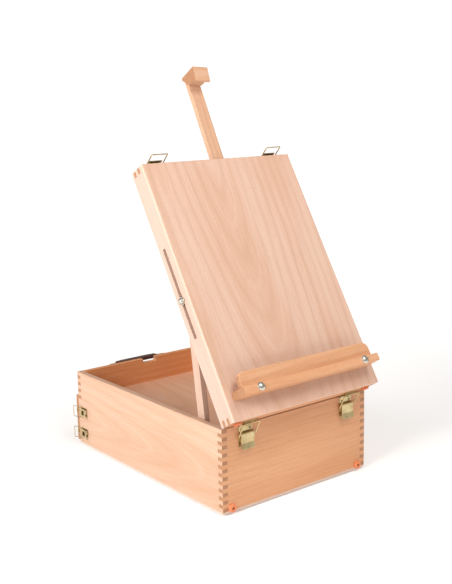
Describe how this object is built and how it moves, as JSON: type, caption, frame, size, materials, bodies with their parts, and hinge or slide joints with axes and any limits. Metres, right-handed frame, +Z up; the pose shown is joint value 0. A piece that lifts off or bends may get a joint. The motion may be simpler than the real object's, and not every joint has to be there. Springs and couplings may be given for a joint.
{
  "type": "box easel",
  "caption": "Table-top wooden box easel: a finger-jointed case with an open tray, rear drawers and a propped drawing-board lid with a canvas ledge and a sliding mast.",
  "frame": {"origin": "on the surface the easel stands on, under the middle of the case", "axes": "+X to the right along the front, +Y to the back where the drawers open, +Z up"},
  "size_m": [0.3178, 0.511, 0.6658],
  "materials": {
    "beech_case": "satin",
    "beech_lid": "satin",
    "beech_board": "satin",
    "beech_panel": "matte",
    "beech_dark": "satin",
    "beech_strut": "satin",
    "beech_drawer": "satin",
    "brass": "satin",
    "screw_steel": "satin",
    "bright_steel": "polished",
    "foot_rubber": "matte",
    "leather": "satin"
  },
  "bodies": {
    "case": {"bottom_panel": "beech_panel", "box_back": "beech_case", "box_front": "beech_case", "box_left_side": "beech_case", "box_right_side": "beech_case", "case_feet": "foot_rubber", "case_latch_bases": "brass", "case_screws": "screw_steel", "case_strikes": "brass", "drawer_shelf": "beech_panel", "handle_brackets": "brass", "hinge_case_leaves": "brass", "hinge_pins": "brass", "tray_floor": "beech_panel"},
    "lid": {"drawing_board": "beech_board", "hinge_lid_leaves": "brass", "ledge_bolts": "bright_steel", "ledge_lip": "beech_dark", "ledge_shelf": "beech_dark", "lid_feet": "foot_rubber", "lid_front_rail": "beech_lid", "lid_latch_bases": "brass", "lid_left_rail": "beech_lid", "lid_rear_rail": "beech_lid", "lid_right_rail": "beech_lid", "lid_screws": "screw_steel", "lid_strikes": "brass", "mast_guide": "beech_strut"},
    "mast_swivel": {"mast_clamp_pad": "brass"},
    "mast": {"mast": "beech_dark", "mast_hook": "beech_dark"},
    "clamp_knob": {"mast_clamp_knob": "brass"},
    "left_stay": {"left_stay_bolt": "bright_steel"},
    "right_stay": {"right_stay_bolt": "bright_steel"},
    "left_strut": {"left_strut": "beech_strut"},
    "right_strut": {"right_strut": "beech_strut"},
    "upper_drawer": {"upper_drawer_front": "beech_drawer", "upper_drawer_tray": "beech_drawer", "upper_drawer_strikes": "brass"},
    "lower_drawer": {"lower_drawer_front": "beech_drawer", "lower_drawer_tray": "beech_drawer", "lower_drawer_strikes": "brass"},
    "handle": {"handle_grip": "leather", "handle_loops": "brass"},
    "front_left_lever": {"front_left_lever": "brass"},
    "front_left_bail": {"front_left_bail": "brass"},
    "rear_left_lever": {"rear_left_lever": "brass"},
    "rear_left_bail": {"rear_left_bail": "brass"},
    "upper_left_lever": {"upper_left_lever": "brass"},
    "upper_left_bail": {"upper_left_bail": "brass"},
    "lower_left_lever": {"lower_left_lever": "brass"},
    "lower_left_bail": {"lower_left_bail": "brass"},
    "front_right_lever": {"front_right_lever": "brass"},
    "front_right_bail": {"front_right_bail": "brass"},
    "rear_right_lever": {"rear_right_lever": "brass"},
    "rear_right_bail": {"rear_right_bail": "brass"},
    "upper_right_lever": {"upper_right_lever": "brass"},
    "upper_right_bail": {"upper_right_bail": "brass"},
    "lower_right_lever": {"lower_right_lever": "brass"},
    "lower_right_bail": {"lower_right_bail": "brass"}
  },
  "joints": [
    {"name": "lid_hinge", "type": "hinge", "parent": "case", "child": "lid", "pos_m": [0, -0.2122, 0.13725], "axis": [1, 0, 0], "range_deg": [-59, 8]},
    {"name": "mast_swivel", "type": "hinge", "parent": "lid", "child": "mast_swivel", "pos_m": [0, -0.0388, 0.46845], "axis": [0, -0.8572, 0.515], "range_deg": [-0.4, 7.2]},
    {"name": "mast_slide", "type": "slide", "parent": "mast_swivel", "child": "mast", "axis": [0.0628, 0.514, 0.8555], "range_m": [-0.135, 0.01]},
    {"name": "clamp_knob_turn", "type": "hinge", "parent": "lid", "child": "clamp_knob", "pos_m": [0, -0.02449, 0.45985], "axis": [0, -0.8572, 0.515], "continuous": true},
    {"name": "left_stay_slide", "type": "slide", "parent": "lid", "child": "left_stay", "axis": [0, 0.515, 0.8572], "range_m": [-0.0094, 0.0665]},
    {"name": "left_strut_hinge", "type": "hinge", "parent": "left_stay", "child": "left_strut", "pos_m": [0, -0.12122, 0.31673], "axis": [1, 0, 0], "range_deg": [-10.24, 1.82]},
    {"name": "right_stay_slide", "type": "slide", "parent": "lid", "child": "right_stay", "axis": [0, 0.515, 0.8572], "range_m": [-0.0094, 0.0665]},
    {"name": "right_strut_hinge", "type": "hinge", "parent": "right_stay", "child": "right_strut", "pos_m": [0, -0.12122, 0.31673], "axis": [1, 0, 0], "range_deg": [-10.24, 1.82]},
    {"name": "upper_drawer_slide", "type": "slide", "parent": "case", "child": "upper_drawer", "axis": [0, 1, 0], "range_m": [0, 0.3]},
    {"name": "lower_drawer_slide", "type": "slide", "parent": "case", "child": "lower_drawer", "axis": [0, 1, 0], "range_m": [0, 0.3]},
    {"name": "handle_hinge", "type": "hinge", "parent": "case", "child": "handle", "pos_m": [0, 0.215, 0.127], "axis": [1, 0, 0], "range_deg": [-60, 50]},
    {"name": "front_left_lever_hinge", "type": "hinge", "parent": "case", "child": "front_left_lever", "pos_m": [-0.105, -0.2135, 0.123], "axis": [-1, 0, 0], "range_deg": [0, 100]},
    {"name": "front_left_bail_hinge", "type": "hinge", "parent": "front_left_lever", "child": "front_left_bail", "pos_m": [-0.105, -0.2134, 0.118], "axis": [1, 0, 0], "range_deg": [0, 134]},
    {"name": "rear_left_lever_hinge", "type": "hinge", "parent": "lid", "child": "rear_left_lever", "pos_m": [-0.117, -0.00465, 0.50897], "axis": [-1, 0, 0], "range_deg": [0, 100]},
    {"name": "rear_left_bail_hinge", "type": "hinge", "parent": "rear_left_lever", "child": "rear_left_bail", "pos_m": [-0.117, -0.00877, 0.51134], "axis": [-1, 0, 0], "range_deg": [0, 60]},
    {"name": "upper_left_lever_hinge", "type": "hinge", "parent": "case", "child": "upper_left_lever", "pos_m": [-0.15217, 0.20132, 0.064], "axis": [0, 0, -1], "range_deg": [0, 100]},
    {"name": "upper_left_bail_hinge", "type": "hinge", "parent": "upper_left_lever", "child": "upper_left_bail", "pos_m": [-0.15211, 0.19822, 0.064], "axis": [0, 0, 1], "range_deg": [0, 101]},
    {"name": "lower_left_lever_hinge", "type": "hinge", "parent": "case", "child": "lower_left_lever", "pos_m": [-0.15217, 0.20132, 0.025], "axis": [0, 0, -1], "range_deg": [0, 100]},
    {"name": "lower_left_bail_hinge", "type": "hinge", "parent": "lower_left_lever", "child": "lower_left_bail", "pos_m": [-0.15211, 0.19822, 0.025], "axis": [0, 0, 1], "range_deg": [0, 101]},
    {"name": "front_right_lever_hinge", "type": "hinge", "parent": "case", "child": "front_right_lever", "pos_m": [0.105, -0.2135, 0.123], "axis": [-1, 0, 0], "range_deg": [0, 100]},
    {"name": "front_right_bail_hinge", "type": "hinge", "parent": "front_right_lever", "child": "front_right_bail", "pos_m": [0.105, -0.2134, 0.118], "axis": [1, 0, 0], "range_deg": [0, 134]},
    {"name": "rear_right_lever_hinge", "type": "hinge", "parent": "lid", "child": "rear_right_lever", "pos_m": [0.117, -0.00465, 0.50897], "axis": [-1, 0, 0], "range_deg": [0, 100]},
    {"name": "rear_right_bail_hinge", "type": "hinge", "parent": "rear_right_lever", "child": "rear_right_bail", "pos_m": [0.117, -0.00877, 0.51134], "axis": [-1, 0, 0], "range_deg": [0, 60]},
    {"name": "upper_right_lever_hinge", "type": "hinge", "parent": "case", "child": "upper_right_lever", "pos_m": [0.15217, 0.20132, 0.064], "axis": [0, 0, 1], "range_deg": [0, 100]},
    {"name": "upper_right_bail_hinge", "type": "hinge", "parent": "upper_right_lever", "child": "upper_right_bail", "pos_m": [0.15211, 0.19822, 0.064], "axis": [0, 0, -1], "range_deg": [0, 101]},
    {"name": "lower_right_lever_hinge", "type": "hinge", "parent": "case", "child": "lower_right_lever", "pos_m": [0.15217, 0.20132, 0.025], "axis": [0, 0, 1], "range_deg": [0, 100]},
    {"name": "lower_right_bail_hinge", "type": "hinge", "parent": "lower_right_lever", "child": "lower_right_bail", "pos_m": [0.15211, 0.19822, 0.025], "axis": [0, 0, -1], "range_deg": [0, 101]}
  ],
  "couplings": [
    {"joint": "left_stay_slide", "follows": "lid_hinge", "m_per_rad": -0.06409},
    {"joint": "left_strut_hinge", "follows": "lid_hinge", "ratio": 0.165},
    {"joint": "right_stay_slide", "follows": "lid_hinge", "m_per_rad": -0.06409},
    {"joint": "right_strut_hinge", "follows": "lid_hinge", "ratio": 0.165},
    {"joint": "front_left_bail_hinge", "follows": "front_left_lever_hinge", "ratio": 1.33},
    {"joint": "upper_left_bail_hinge", "follows": "upper_left_lever_hinge", "ratio": 1},
    {"joint": "lower_left_bail_hinge", "follows": "lower_left_lever_hinge", "ratio": 1},
    {"joint": "front_right_bail_hinge", "follows": "front_right_lever_hinge", "ratio": 1.33},
    {"joint": "upper_right_bail_hinge", "follows": "upper_right_lever_hinge", "ratio": 1},
    {"joint": "lower_right_bail_hinge", "follows": "lower_right_lever_hinge", "ratio": 1}
  ]
}
